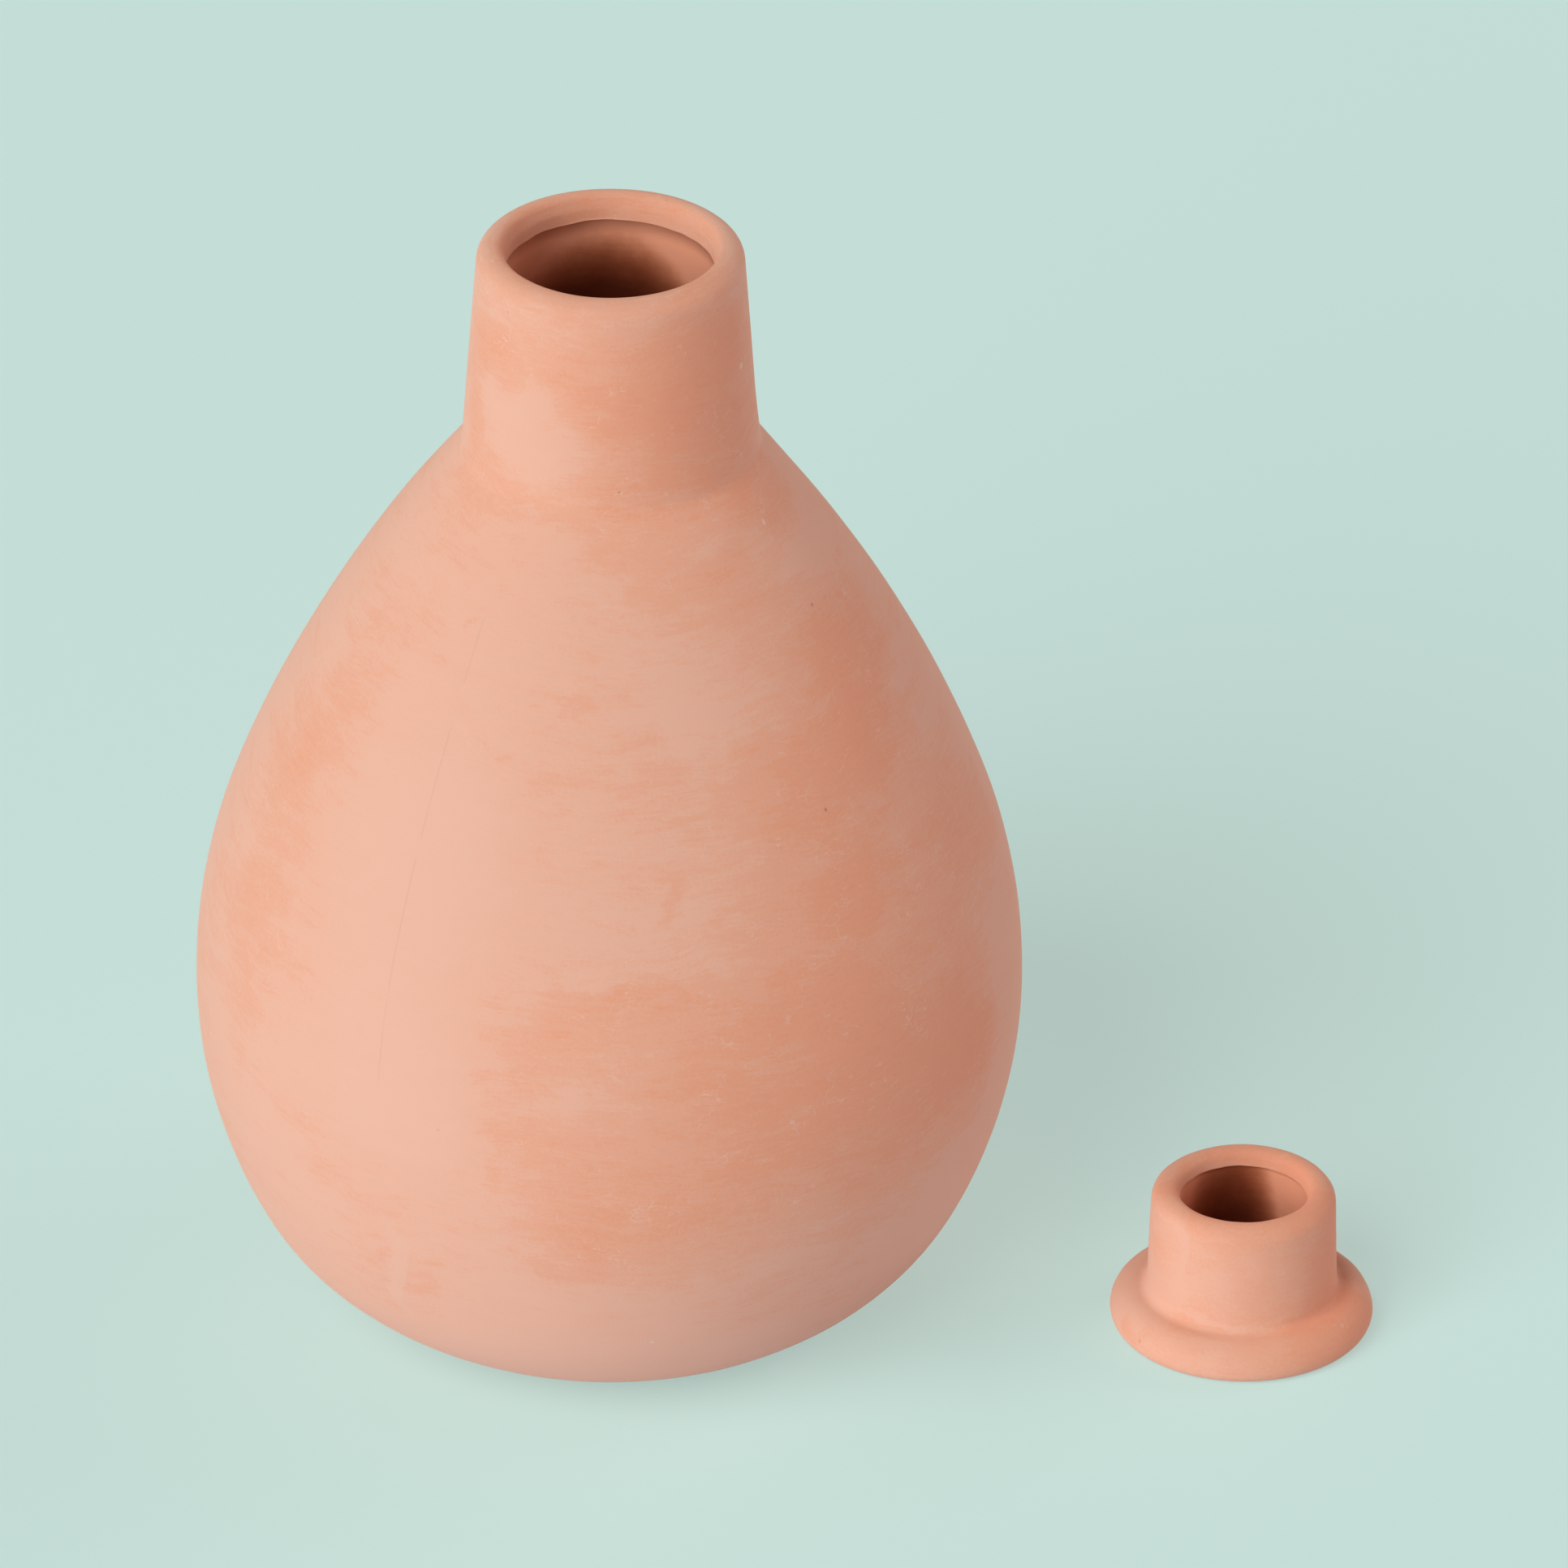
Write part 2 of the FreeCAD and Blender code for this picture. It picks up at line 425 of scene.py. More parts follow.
def smear_slip(shell, sizes):
    """An uneven bead of slip where the plug was joined to the flange."""
    bead_out, bead_up, bead_reach, under_plug = 1.2 * MM, 0.9 * MM, 1.2 * MM, 1 * MM
    slow_waves, quick_waves = 4.0, 13.0
    for vertex in shell.verts:
        across = vertex.co.xy.length
        if across < sizes.plug_base_radius - under_plug or across == 0:
            continue
        from_joint = math.hypot(
            across - sizes.plug_base_radius - bead_out, vertex.co.z - sizes.flange_thickness - bead_up)
        around = outward(vertex.co)
        slow, quick = noise.noise(around * slow_waves), noise.noise(around * quick_waves)
        ragged = 0.5 + 1.2 * slow + 0.7 * quick
        near = math.exp(-(from_joint / bead_reach) ** 2)
        vertex.co += vertex.normal * (sizes.slip_bead * near * max(0.0, ragged))
    shell.normal_update()


# The sockets of a Mix node that carry colours
MIX_FIRST, MIX_SECOND, MIX_RESULT = 6, 7, 2


class Wiring:
    """Adds nodes to a tree and links them."""

    def __init__(self, tree):
        self.tree = tree

    def node(self, kind, **settings):
        """A new node with these settings."""
        node = self.tree.nodes.new(kind)
        for name, value in settings.items():
            setattr(node, name, value)
        return node

    def feed(self, socket, value):
        """Links an output to a socket, or sets the socket to a plain value."""
        if isinstance(value, bpy.types.NodeSocket):
            self.tree.links.new(value, socket)
        else:
            socket.default_value = value

    def fed(self, kind, sockets, **settings):
        """A new node with these settings, its inputs fed by name."""
        node = self.node(kind, **settings)
        for name, value in sockets.items():
            self.feed(node.inputs[name], value)
        return node

    def math(self, operation, *values):
        """One step of arithmetic."""
        node = self.node("ShaderNodeMath", operation=operation)
        for socket, value in zip(node.inputs, values):
            self.feed(socket, value)
        return node.outputs[0]

    def spread(self, value, noises):
        """The value with shares of several noises added around it."""
        for texture, share in noises:
            part = self.math("MULTIPLY", self.math("SUBTRACT", texture, 0.5), share)
            value = self.math("ADD", value, part)
        return value

    def vector(self, operation, first, second):
        """One step of arithmetic on vectors."""
        node = self.node("ShaderNodeVectorMath", operation=operation)
        self.feed(node.inputs[0], first)
        self.feed(node.inputs[1], second)
        return node.outputs[0]

    def along(self, place, way):
        """How far a place lies along a way."""
        node = self.node("ShaderNodeVectorMath", operation="DOT_PRODUCT")
        self.feed(node.inputs[0], place)
        self.feed(node.inputs[1], way)
        return node.outputs["Value"]

    def rise(self, value, low, high, first=0.0, last=1.0):
        """A smooth rise from first to last between low and high."""
        sockets = {"Value": value, "From Min": low, "From Max": high, "To Min": first, "To Max": last}
        node = self.fed("ShaderNodeMapRange", sockets, interpolation_type="SMOOTHSTEP")
        return node.outputs["Result"]

    def mix(self, share, first, second):
        """One colour passing into another."""
        node = self.node("ShaderNodeMix", data_type="RGBA")
        self.feed(node.inputs[0], share)
        self.feed(node.inputs[MIX_FIRST], first)
        self.feed(node.inputs[MIX_SECOND], second)
        return node.outputs[MIX_RESULT]

    def parts(self, place):
        """The three coordinates of a place."""
        return self.fed("ShaderNodeSeparateXYZ", {"Vector": place}).outputs

    def across(self, place):
        """How far a place lies from the axis."""
        node = self.node("ShaderNodeVectorMath", operation="LENGTH")
        self.feed(node.inputs[0], self.vector("MULTIPLY", place, (1.0, 1.0, 0.0)))
        return node.outputs["Value"]

    def grain(self, place, size, detail=2.0, roughness=0.5, output="Fac"):
        """Noise whose lumps have this size, as a value or a colour around one half."""
        sockets = {"Vector": place, "Scale": 1.0 / size, "Detail": detail, "Roughness": roughness}
        return self.fed("ShaderNodeTexNoise", sockets).outputs[output]

    def relief(self, height):
        """The normal of a surface that rises by a height in millimetres."""
        return self.fed("ShaderNodeBump", {"Distance": MM, "Height": height}).outputs[0]

    def surface(self, shader):
        """Ends a material in this shader."""
        self.fed("ShaderNodeOutputMaterial", {"Surface": shader})

    def group(self, tree, **values):
        """A node group in this tree, with its inputs fed by name."""
        sockets = {name.replace("_", " ").capitalize(): value for name, value in values.items()}
        return self.fed("ShaderNodeGroup", sockets, node_tree=tree)


def new_group(name, inputs, outputs):
    """An empty node group with named sockets. Returns its wiring, its inputs and its outputs."""
    tree = bpy.data.node_groups.new(name, "ShaderNodeTree")
    for label, kind, default in inputs:
        socket = tree.interface.new_socket(name=label, in_out="INPUT", socket_type="NodeSocket" + kind)
        if default is not None:
            socket.default_value = default
    for label, kind in outputs:
        tree.interface.new_socket(name=label, in_out="OUTPUT", socket_type="NodeSocket" + kind)
    wiring = Wiring(tree)
    start = wiring.node("NodeGroupInput")
    end = wiring.node("NodeGroupOutput")
    return wiring, start.outputs, end.inputs


def new_material(name):
    """An empty material, and its wiring."""
    material = bpy.data.materials.new(name)
    material.use_nodes = True
    material.node_tree.nodes.clear()
    return material, Wiring(material.node_tree)


def wiping_strokes():
    """Streaks that a wet sponge leaves around the turned form: long around it, narrow along it."""
    drift_size, drift_height = 45.0, 16.0
    wiring, given, out = new_group(
        "Wiping Strokes",
        [("Place", "Vector", None), ("Stroke length", "Float", 20.0), ("Stroke width", "Float", 2.0)],
        [("Strokes", "Float")])
    parts = wiring.parts(given["Place"])
    drift = wiring.math("SUBTRACT", wiring.grain(given["Place"], drift_size), 0.5)
    level = wiring.math("ADD", parts["Z"], wiring.math("MULTIPLY", drift, drift_height))
    long_step = wiring.math("DIVIDE", 1.0, given["Stroke length"])
    joined = wiring.fed("ShaderNodeCombineXYZ", {
        "X": wiring.math("MULTIPLY", parts["X"], long_step),
        "Y": wiring.math("MULTIPLY", parts["Y"], long_step),
        "Z": wiring.math("DIVIDE", level, given["Stroke width"]),
    })
    streaks = wiring.fed("ShaderNodeTexNoise", {
        "Vector": joined.outputs[0],
        "W": wiring.math("DIVIDE", wiring.across(given["Place"]), given["Stroke width"]),
        "Scale": 1.0,
        "Detail": 3.0,
        "Roughness": 0.6,
    }, noise_dimensions="4D")
    wiring.feed(out["Strokes"], streaks.outputs["Fac"])
    return wiring.tree


def soft_spot():
    """A soft oval patch on the outside of a turned form, added to the ones before it."""
    edge, core = 1.35, 0.35
    wiring, given, out = new_group(
        "Soft Spot",
        [("Place", "Vector", None), ("Before", "Float", 0.0), ("Facing", "Vector", None),
         ("Sideways", "Vector", None), ("Upward", "Vector", None), ("Level", "Float", 0.0),
         ("Strength", "Float", 1.0)],
        [("Spots", "Float")])
    aside = wiring.along(given["Place"], given["Sideways"])
    above = wiring.math("SUBTRACT", wiring.along(given["Place"], given["Upward"]), given["Level"])
    square = wiring.math("MULTIPLY_ADD", aside, aside, wiring.math("MULTIPLY", above, above))
    patch = wiring.rise(wiring.math("SQRT", square), edge, core, 0.0, given["Strength"])
    this_side = wiring.math("GREATER_THAN", wiring.along(given["Place"], given["Facing"]), 0.0)
    wiring.feed(out["Spots"], wiring.math("MULTIPLY_ADD", patch, this_side, given["Before"]))
    return wiring.tree


def mould_seam():
    """The fine line that the join of the mould leaves down one side."""
    wander_size, gap_size, fade_in, fade_out = 60.0, 9.0, 30.0, 6.0
    wiring, given, out = new_group(
        "Mould Seam",
        [("Place", "Vector", None), ("Bearing", "Float", 0.0), ("Half width", "Float", 0.4),
         ("Low", "Float", 90.0), ("High", "Float", 216.0)],
        [("Line", "Float")])
    turned = wiring.fed("ShaderNodeVectorRotate", {
        "Vector": given["Place"], "Angle": wiring.math("MULTIPLY", given["Bearing"], -1.0),
    }, rotation_type="Z_AXIS")
    parts = wiring.parts(turned.outputs[0])
    wander = wiring.math("SUBTRACT", wiring.grain(given["Place"], wander_size, 1.0), 0.5)
    aside = wiring.math("ABSOLUTE", wiring.math("ADD", parts["Y"], wander))
    line = wiring.rise(aside, given["Half width"], 0.0)
    this_side = wiring.math("GREATER_THAN", parts["X"], 0.0)
    gaps = wiring.rise(wiring.grain(given["Place"], gap_size), 0.3, 0.5)
    start = wiring.rise(parts["Z"], given["Low"], wiring.math("ADD", given["Low"], fade_in))
    stop = wiring.rise(parts["Z"], wiring.math("ADD", given["High"], fade_out), given["High"])
    for share in (this_side, gaps, start, stop):
        line = wiring.math("MULTIPLY", line, share)
    wiring.feed(out["Line"], line)
    return wiring.tree


def clay_grain():
    """The fine grain of the fired clay, and the thin pale scratches on it."""
    grain_size, mottle_size, curl_size, patch_size = 0.9, 5.5, 3.2, 9.0
    curl_width = 0.016
    wiring, given, out = new_group(
        "Clay Grain",
        [("Place", "Vector", None)],
        [("Grain", "Float"), ("Scratches", "Float"), ("Mottle", "Float")])
    wiring.feed(out["Grain"], wiring.grain(given["Place"], grain_size, 3.0, 0.7))
    wiring.feed(out["Mottle"], wiring.grain(given["Place"], mottle_size, 4.0, 0.6))
    stretched = wiring.fed("ShaderNodeMapping", {
        "Vector": given["Place"], "Rotation": (0.35, -0.25, 0.0), "Scale": (0.45, 0.45, 1.0)})
    ridges = wiring.math("SUBTRACT", wiring.grain(stretched.outputs[0], curl_size), 0.5)
    curls = wiring.rise(wiring.math("ABSOLUTE", ridges), curl_width, 0.0)
    where = wiring.rise(wiring.grain(given["Place"], patch_size), 0.46, 0.66)
    wiring.feed(out["Scratches"], wiring.math("MULTIPLY", curls, where))
    return wiring.tree


def clay_ramp(wiring, bare, finish):
    """From clay under its bloom to bare clay."""
    stops = (
        (0.0, finish.pale_bloom),
        (0.3, finish.mid_clay),
        (0.65, finish.bare_clay),
        (1.0, finish.warm_clay),
    )
    node = wiring.fed("ShaderNodeValToRGB", {"Fac": bare})
    elements = node.color_ramp.elements
    for position, _ in stops[1:-1]:
        elements.new(position)
    for element, (position, shade) in zip(elements, stops):
        element.position = position
        element.color = (*shade, 1.0)
    return node.outputs["Color"]


# Rubbed patches on the jar, some of which also paint shade: bearing from the front, height, half width,
# half height, lean, strength
JAR_RUBS_AND_SHADE = (
    (-61, 190, 16, 18, -0.2, 0.10),
    (-68, 172, 14, 20, 0.0, 0.10),
    (-64, 145, 14, 30, 0.0, 0.10),
    (-61, 112, 14, 26, 0.0, 0.08),
    (-58, 244, 13, 14, 0.2, 0.16),
    (-35, 199, 5, 2.5, 0.6, 0.12),
    (-34, 216, 2.5, 2, 0.0, 0.2),
    (-27, 195, 6, 2.5, 0.8, 0.18),
    (-8, 203, 5, 3, 0.3, 0.14),
    (-20, 190, 3, 1.5, 0.3, 0.12),
    (5, 129, 44, 16, 0.0, 0.20),
    (3, 138, 23, 3, 0.0, 0.16),
    (-5, 128, 13, 10, 0.0, 0.14),
    (8, 90, 46, 36, 0.0, 0.20),
    (0, 300, 50, 5, 0.0, 0.16),
    (12, 160, 3, 5, 0.0, 0.14),
    (-14, 108, 14, 20, 0.0, 0.16),
    (40, 100, 50, 34, 0.0, 0.18),
    (64, 201, 22, 15, -0.3, 0.34),
    (58, 182, 20, 12, 0.2, 0.24),
    (43, 152, 16, 12, 0.0, 0.18),
    (75, 150, 20, 20, 0.0, 0.18),
    # These three put bare clay over the shaded right side and the right of the neck: partly the clay's
    # own orange, partly painted shade that darkens and warms that side
    (52, 120, 56, 66, 0.0, 0.34),
    (46, 205, 32, 36, 0.0, 0.20),
    (50, 272, 22, 28, 0.0, 0.26),
    (-54, 279, 10, 8, 0.3, 0.18),
    # Painted shade: darker, warmer clay down the neck's left edge, where the light falls off
    (-70, 266, 8, 22, 0.0, 0.22),
    (15, 270, 22, 8, 0.0, 0.16),
    # Orange clay right of the neck's foot, which also paints the darker part of the neck's shadow on the
    # shoulder
    (68, 238, 14, 9, 0.0, 0.30),
    (3, 234, 12, 4, 0.2, 0.06),
    (22, 150, 40, 74, 0.0, 0.10),
    (26, 256, 28, 40, 0.0, 0.26),
    (10, 284, 36, 12, 0.0, 0.16),
    (5, 70, 40, 18, 0.0, 0.10),
    (-26, 50, 3, 15, 0.3, 0.08),
    (128, 180, 30, 26, 0.3, 0.24),
    (170, 120, 34, 22, 0.0, 0.22),
    (-130, 150, 30, 34, 0.2, 0.24),
    (-160, 205, 18, 16, 0.0, 0.2),
    (150, 66, 30, 16, 0.0, 0.16),
)

# Places where the bloom is thick, in the same terms
JAR_BLOOM = (
    (-34, 150, 24, 58, 0.0, 0.24),
    (26, 205, 22, 20, 0.0, 0.16),
    (-30, 100, 30, 22, 0.0, 0.16),
    (-12, 253, 12, 8, 0.0, 0.1),
    (-30, 262, 16, 14, 0.0, 0.14),
    (-50, 58, 26, 24, 0.0, 0.12),
    (-32, 48, 3, 16, 0.0, 0.34),
    (4, 124, 16, 1.5, 0.1, 0.1),
    (-4, 115, 5, 1.6, 0.2, 0.1),
    (74, 104, 18, 50, 0.0, 0.26),
    (58, 58, 26, 32, 0.0, 0.28),
    (31, 236, 13, 6, 0.0, 0.16),
    (0, 22, 60, 16, 0.0, 0.24),
    (100, 120, 30, 50, 0.0, 0.2),
    (-100, 110, 26, 50, 0.0, 0.16),
)

# Pits and lime specks, in the same terms
JAR_PITS = (
    (-48.4, 292.4, 0.3, 0.3, 0.0, 0.35),
    (52.4, 292.2, 0.3, 0.25, 0.0, 0.35),
    (4.0, 249.2, 0.35, 0.25, 0.0, 0.6),
    (58.9, 213.9, 0.5, 0.35, 0.0, 0.5),
    (41.2, 172.7, 0.45, 0.45, 0.0, 0.6),
    (-23.5, 98.5, 0.5, 0.4, 0.0, 0.15),
    (140.0, 190.0, 0.5, 0.4, 0.0, 0.5),
    (-120.0, 120.0, 0.4, 0.4, 0.0, 0.5),
)
JAR_SPECKS = (
    (68.0, 272.5, 1.0, 0.9, 0.0, 1.0),
    (58.4, 233.7, 0.6, 0.8, 0.0, 0.9),
    (7.4, 33.4, 0.6, 0.6, 0.0, 1.0),
    (-150.0, 160.0, 0.5, 0.6, 0.0, 0.9),
    (115.0, 90.0, 0.5, 0.5, 0.0, 0.9),
)

# The same marks on the stopper; the first of its pits is a painted shadow
STOPPER_RUBS = (
    (0, 44, 44, 9, 0.0, 0.30),
    (120, 42, 40, 5, 0.0, 0.16),
    (-120, 42, 40, 5, 0.0, 0.16),
    (50, 24, 34, 24, 0.0, 0.26),
    (24, 4, 50, 5, 0.0, 0.12),
    (60, 8, 14, 6, 0.0, 0.3),
    (-58, 5, 8, 4, 0.0, 0.16),
    (76, 22, 14, 18, 0.0, 0.28),
    (54, 9, 4, 2, 0.0, 0.2),
    (-60, 26, 8, 8, 0.0, 0.14),
    (160, 20, 16, 10, 0.0, 0.2),
)
STOPPER_BLOOM = (
    (-14, 22, 16, 10, 0.0, 0.10),
    (-70, 11.5, 7, 2.2, 0.2, 0.34),
    (-32, 12.2, 12, 1.4, 0.1, 0.2),
    (4, 12.2, 16, 1.4, 0.0, 0.12),
    (40, 12.4, 8, 1.2, 0.0, 0.10),
)
STOPPER_PITS_AND_SHADOW = (
    # Painted shadow: a broad dark smear where the plug's shadow falls on the flange at the right back
    (112, 10.0, 10, 3.5, 0.0, 0.2),
    (-52, 5.5, 0.5, 0.5, 0.0, 0.3),
)
STOPPER_SPECKS = (
    (54.5, 9.0, 0.5, 0.4, 0.0, 0.45),
    (51.0, 9.6, 0.8, 0.2, 0.3, 0.2),
    (57.0, 8.3, 0.6, 0.25, -0.5, 0.2),
)

# The bearing of the front from +X
FRONT = -90


def chained_spots(wiring, tree, place, spots):
    """All of these spots as one value."""
    total = 0.0
    for bearing, height, half_width, half_height, lean, strength in spots:
        turn = math.radians(FRONT + bearing)
        facing = Vector((math.cos(turn), math.sin(turn), 0.0))
        sideways = Vector((-facing.y, facing.x, 0.0)) / half_width
        upward = Vector((0.0, 0.0, 1.0 / half_height)) + sideways * lean
        node = wiring.group(
            tree, place=place, before=total, facing=facing, sideways=sideways, upward=upward,
            level=height / half_height, strength=strength)
        total = node.outputs["Spots"]
    return total


def millimetres(wiring, centre):
    """The place on the piece in millimetres from the foot of its own axis."""
    coordinates = wiring.node("ShaderNodeTexCoord")
    centred = wiring.fed("ShaderNodeMapping", {
        "Vector": coordinates.outputs["Object"],
        "Location": (-centre.x / MM, -centre.y / MM, 0.0),
        "Scale": (1 / MM, 1 / MM, 1 / MM),
    }, vector_type="POINT")
    return centred.outputs[0]


def strokes_on(wiring, groups, place, stroke_length, stroke_width):
    """Wiping strokes of this length and width in millimetres."""
    return wiring.group(
        groups["strokes"], place=place, stroke_length=stroke_length, stroke_width=stroke_width).outputs[0]


def inside_material(name, finish, groups, centre, lip_height, downward, start, bow, middle):
    """Raw clay inside a hollow, with painted shade that makes it darker downward, least so at its left
    and right.

    Each millimetre of depth adds downward to start, and bow is taken off with the square of the
    way from the middle.
    """
    deepest_shade, softness, stroke_relief = 2.0, 0.5, 0.05
    material, wiring = new_material(name)
    place = millimetres(wiring, centre)
    skin = wiring.group(groups["grain"], place=place).outputs
    strokes = strokes_on(wiring, groups, place, 30.0, 1.6)
    parts = wiring.parts(place)
    # Painted shade: darker with depth under the lip, lighter towards the left and right walls where the
    # light reaches in
    depth = wiring.math("SUBTRACT", lip_height, parts["Z"])
    shaded = wiring.math("ADD", wiring.math("MULTIPLY", depth, downward), start)
    aside = wiring.math("SUBTRACT", parts["X"], middle)
    lit_aside = wiring.math("MULTIPLY", wiring.math("MULTIPLY", aside, aside), bow)
    shaded = wiring.math("SUBTRACT", shaded, lit_aside)
    shaded = wiring.spread(shaded, ((skin["Mottle"], 0.5), (strokes, 0.3)))
    shaded = wiring.math("SMOOTH_MAX", wiring.math("MINIMUM", shaded, deepest_shade), 0.0, softness)
    clay = wiring.node("ShaderNodeCombineColor")
    for socket, raw, left in zip(clay.inputs, finish.raw_clay, finish.hollow_shade_share):
        wiring.feed(socket, wiring.math("MULTIPLY", wiring.math("POWER", left, shaded), raw))
    shader = wiring.fed("ShaderNodeBsdfPrincipled", {
        "Base Color": clay.outputs[0],
        "Roughness": wiring.rise(skin["Mottle"], 0.2, 0.8, 0.84, 0.92),
        "Normal": wiring.relief(wiring.math("MULTIPLY", strokes, stroke_relief)),
        "Specular IOR Level": 0.2,
    })
    wiring.surface(shader.outputs[0])
    return material


# Wear is 0 under full bloom and 1 on bare clay. Its usual level, and what each kind of mark adds to it
USUAL_WEAR, CREST_WEAR, CLOUD_SHARE, LONG_STROKE_SHARE = 0.26, 0.26, 0.60, 0.40
SHORT_STROKE_SHARE, FINE_STROKE_SHARE, MOTTLE_SHARE, GRAIN_SHARE = 0.55, 0.40, 0.30, 0.30
# The wear over which the bloom gets thin and then goes, and what each adds to the bareness of the clay
THIN_BLOOM, GONE_BLOOM = (0.26, 0.48), (0.50, 0.72)
WEAR_SHARE, THIN_SHARE, GONE_SHARE = 0.42, 0.24, 0.18


def bloom_wear_and_shade(wiring, groups, place, rubs_and_shade, bloom, crest_radius):
    """How far the bloom is worn off: clouds, rubbed patches, and the bare clay inside the crest. Some of
    the rubbed patches also paint shade.
    """
    wobble_size, wobble_reach, cloud_size = 16.0, (26.0, 26.0, 16.0), 52.0
    push = wiring.vector(
        "SUBTRACT", wiring.grain(place, wobble_size, 4.0, 0.62, "Color"), (0.5, 0.5, 0.5))
    loose_place = wiring.vector("ADD", place, wiring.vector("MULTIPLY", push, wobble_reach))
    # Rubbed patches, some of which are painted shade
    rubbed = chained_spots(wiring, groups["spot"], loose_place, rubs_and_shade)
    bloomed = chained_spots(wiring, groups["spot"], loose_place, bloom)
    inward = wiring.rise(
        wiring.across(place), crest_radius + 1.0, crest_radius - 1.5, 0.0, CREST_WEAR)
    wear_and_shade = wiring.spread(USUAL_WEAR, ((wiring.grain(place, cloud_size, 3.0, 0.55), CLOUD_SHARE),))
    wear_and_shade = wiring.math("ADD", wiring.math("ADD", wear_and_shade, inward), rubbed)
    return wiring.math("SUBTRACT", wear_and_shade, bloomed)


def clay_material(
        name, centre, finish, groups, rubs_and_shade, bloom, pits_and_shadow, specks, seam_bearing, raggedness, crest_radius):
    """Fired clay with its bloom, wiping strokes, rubbed patches, pits, specks and mould seam. Some
    patches also paint shade, and on the stopper one pit paints the plug's shadow.
    """
    seam_strength, grain_relief, stroke_relief = 0.10, 0.05, 0.03
    scratch, pit_and_shadow_colour = (*finish.scratch, 1.0), (*finish.pit_and_shadow, 1.0)
    material, wiring = new_material(name)
    place = millimetres(wiring, centre)
    skin = wiring.group(groups["grain"], place=place).outputs
    long_strokes = strokes_on(wiring, groups, place, 55.0, 6.0)
    short_strokes = strokes_on(wiring, groups, place, 11.0, 2.2)
    fine_strokes = strokes_on(wiring, groups, place, 5.0, 0.7)

    wear_and_shade = bloom_wear_and_shade(wiring, groups, place, rubs_and_shade, bloom, crest_radius)
    wear_and_shade = wiring.spread(wear_and_shade, ((long_strokes, LONG_STROKE_SHARE * raggedness),))
    ragged = wiring.spread(wear_and_shade, (
        (short_strokes, SHORT_STROKE_SHARE * raggedness), (fine_strokes, FINE_STROKE_SHARE * raggedness),
        (skin["Mottle"], MOTTLE_SHARE * raggedness), (skin["Grain"], GRAIN_SHARE)))
    bare = wiring.math("MULTIPLY", wear_and_shade, WEAR_SHARE)
    bare = wiring.math("ADD", bare, wiring.rise(ragged, *THIN_BLOOM, 0.0, THIN_SHARE))
    bare = wiring.math("ADD", bare, wiring.rise(ragged, *GONE_BLOOM, 0.0, GONE_SHARE))
    grit = wiring.spread(0.0, ((skin["Grain"], 0.40), (fine_strokes, 0.30)))
    bare = wiring.math("MULTIPLY_ADD", grit, wiring.rise(ragged, 0.1, 0.6, 0.3, 1.0), bare)
    clay = clay_ramp(wiring, bare, finish)

    curl_strength = wiring.rise(ragged, 0.2, 0.6, 0.10 * raggedness, 0.5 * raggedness)
    clay = wiring.mix(wiring.math("MULTIPLY", skin["Scratches"], curl_strength), clay, scratch)
    clay = wiring.mix(chained_spots(wiring, groups["spot"], place, specks), clay, scratch)
    seam = wiring.group(
        groups["seam"], place=place, bearing=math.radians(FRONT + seam_bearing)).outputs[0]
    clay = wiring.mix(wiring.math("MULTIPLY", seam, seam_strength), clay, pit_and_shadow_colour)
    # Pits, and on the stopper the painted shadow of the plug, in the pit colour
    clay = wiring.mix(chained_spots(wiring, groups["spot"], place, pits_and_shadow), clay, pit_and_shadow_colour)
    height = wiring.math("MULTIPLY", skin["Grain"], grain_relief)
    height = wiring.math("MULTIPLY_ADD", fine_strokes, stroke_relief, height)

    shader = wiring.fed("ShaderNodeBsdfPrincipled", {
        "Base Color": clay,
        "Roughness": wiring.rise(bare, 0.0, 1.0, 0.90, 0.78),
        "Normal": wiring.relief(height),
        "Specular IOR Level": 0.3,
        "Diffuse Roughness": 0.3,
        "Sheen Weight": 0.06,
        "Sheen Roughness": 0.6,
        "Sheen Tint": (1.0, 0.90, 0.86, 1.0),
    })
    wiring.surface(shader.outputs[0])
    return material


CLAY_GROUPS = {
    "strokes": ("Wiping Strokes", wiping_strokes),
    "spot": ("Soft Spot", soft_spot),
    "seam": ("Mould Seam", mould_seam),
    "grain": ("Clay Grain", clay_grain),
}


def clay_groups():
    """The node groups that both clays use, each made once."""
    made = bpy.data.node_groups
    return {key: made.get(title) or make() for key, (title, make) in CLAY_GROUPS.items()}


class OLLA_OT_make_jar(Operator):
    """Make the jar and its clay"""

    bl_idname = "olla.make_jar"
    bl_label = "Make Jar"

    def execute(self, context):
        sizes = context.scene.olla_jar
        finish = context.scene.olla_clay
        centre = Vector((0, 0, 0))
        lip_height = sizes.height - sizes.lip_depth
        shell = jar_shell(sizes)
        press_by_hand(shell, sizes.hand_depth, reach=0.07, seed=3.0, flat_height=14 * MM)
        swell_neck_foot(shell, sizes)
        trim_by_hand(shell, lip_height, sizes.throat_radius, depth=0.35 * MM)
        mark_inside(shell, lip_height, sizes.belly_radius - 0.5 * sizes.wall, 1.2 * sizes.wall)
        jar = finished_piece("terracotta_jar", shell, centre)
        jar.data.materials.append(clay_material(
            "jar_clay", centre, finish, clay_groups(), JAR_RUBS_AND_SHADE, JAR_BLOOM, JAR_PITS, JAR_SPECKS,
            seam_bearing=-33.2, raggedness=1.0, crest_radius=sizes.rim_crest_radius / MM))
        jar.data.materials.append(inside_material(
            "jar_inside", finish, clay_groups(), centre, lip_height / MM,
            downward=0.125, start=-0.40, bow=0.0034, middle=-1.0))
        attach(jar, "root")
        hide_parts("olla_pot")
        return {"FINISHED"}


